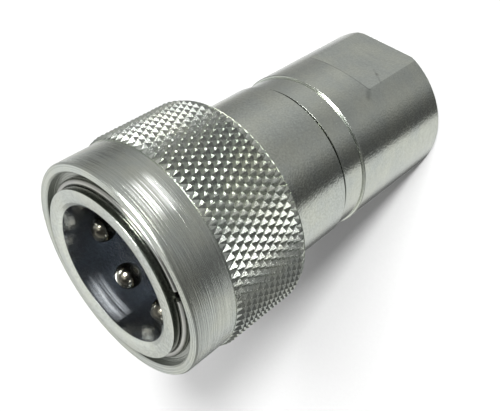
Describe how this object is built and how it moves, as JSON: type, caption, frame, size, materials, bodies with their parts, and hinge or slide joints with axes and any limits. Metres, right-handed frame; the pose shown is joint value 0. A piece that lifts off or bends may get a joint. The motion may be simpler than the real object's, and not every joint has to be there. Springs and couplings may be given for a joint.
{
  "type": "hydraulic coupler body",
  "caption": "Ball-lock hydraulic quick coupler socket in plated steel, with a knurled pull-back sleeve, a sprung poppet valve, two wrench flats and a threaded rear port.",
  "frame": {"origin": "centre of the rear face, which the coupler stands on", "axes": "+Z along the coupler's axis towards the mouth, +X out of one of the two wrench flats"},
  "size_m": [0.038, 0.038, 0.0671],
  "materials": {
    "zinc_steel": "bright zinc plating over turned steel",
    "ball_steel": "polished hardened steel",
    "spring_wire": "drawn spring wire",
    "turned_steel": "turned steel",
    "seal_rubber": "smooth black nitrile rubber",
    "backup_plastic": "off-white low-friction plastic"
  },
  "bodies": {
    "coupler_body": {"adaptor_body": "zinc_steel", "socket_body": "zinc_steel", "body_oring": "seal_rubber", "probe_oring": "seal_rubber", "probe_backup_ring": "backup_plastic", "valve_guide": "turned_steel", "sleeve_spring": "spring_wire", "poppet_spring": "spring_wire"},
    "stop_ring": {"sleeve_stop_ring": "spring_wire"},
    "sleeve": {"locking_sleeve": "zinc_steel"},
    "valve_poppet": {"poppet": "turned_steel", "poppet_seal": "seal_rubber"},
    "locking_ball_1": {"ball_1": "ball_steel"},
    "locking_ball_2": {"ball_2": "ball_steel"},
    "locking_ball_3": {"ball_3": "ball_steel"},
    "locking_ball_4": {"ball_4": "ball_steel"},
    "locking_ball_5": {"ball_5": "ball_steel"},
    "locking_ball_6": {"ball_6": "ball_steel"},
    "locking_ball_7": {"ball_7": "ball_steel"},
    "locking_ball_8": {"ball_8": "ball_steel"}
  },
  "joints": [
    {"name": "sleeve_spin", "type": "hinge", "parent": "coupler_body", "child": "stop_ring", "pos_m": [0, 0, 0.0653], "axis": [0, 0, 1], "continuous": true},
    {"name": "sleeve_slide", "type": "slide", "parent": "stop_ring", "child": "sleeve", "axis": [0, 0, -1], "range_m": [0, 0.0026], "stiffness_N_per_m": 3000, "springref_m": -0.004, "deforming": ["sleeve_spring"]},
    {"name": "poppet_slide", "type": "slide", "parent": "coupler_body", "child": "valve_poppet", "axis": [0, 0, -1], "range_m": [0, 0.005], "stiffness_N_per_m": 1200, "springref_m": -0.006, "deforming": ["poppet_spring"]},
    {"name": "ball_1_slide", "type": "slide", "parent": "coupler_body", "child": "locking_ball_1", "axis": [0.9563, 0.2924, 0], "range_m": [0, 0.00191]},
    {"name": "ball_2_slide", "type": "slide", "parent": "coupler_body", "child": "locking_ball_2", "axis": [0.4695, 0.8829, 0], "range_m": [0, 0.00191]},
    {"name": "ball_3_slide", "type": "slide", "parent": "coupler_body", "child": "locking_ball_3", "axis": [-0.2924, 0.9563, 0], "range_m": [0, 0.00191]},
    {"name": "ball_4_slide", "type": "slide", "parent": "coupler_body", "child": "locking_ball_4", "axis": [-0.8829, 0.4695, 0], "range_m": [0, 0.00191]},
    {"name": "ball_5_slide", "type": "slide", "parent": "coupler_body", "child": "locking_ball_5", "axis": [-0.9563, -0.2924, 0], "range_m": [0, 0.00191]},
    {"name": "ball_6_slide", "type": "slide", "parent": "coupler_body", "child": "locking_ball_6", "axis": [-0.4695, -0.8829, 0], "range_m": [0, 0.00191]},
    {"name": "ball_7_slide", "type": "slide", "parent": "coupler_body", "child": "locking_ball_7", "axis": [0.2924, -0.9563, 0], "range_m": [0, 0.00191]},
    {"name": "ball_8_slide", "type": "slide", "parent": "coupler_body", "child": "locking_ball_8", "axis": [0.8829, -0.4695, 0], "range_m": [0, 0.00191]}
  ],
  "couplings": [
    {"joint": "ball_1_slide", "follows": "sleeve_slide", "ratio": 0.73462},
    {"joint": "ball_2_slide", "follows": "sleeve_slide", "ratio": 0.73462},
    {"joint": "ball_3_slide", "follows": "sleeve_slide", "ratio": 0.73462},
    {"joint": "ball_4_slide", "follows": "sleeve_slide", "ratio": 0.73462},
    {"joint": "ball_5_slide", "follows": "sleeve_slide", "ratio": 0.73462},
    {"joint": "ball_6_slide", "follows": "sleeve_slide", "ratio": 0.73462},
    {"joint": "ball_7_slide", "follows": "sleeve_slide", "ratio": 0.73462},
    {"joint": "ball_8_slide", "follows": "sleeve_slide", "ratio": 0.73462}
  ]
}
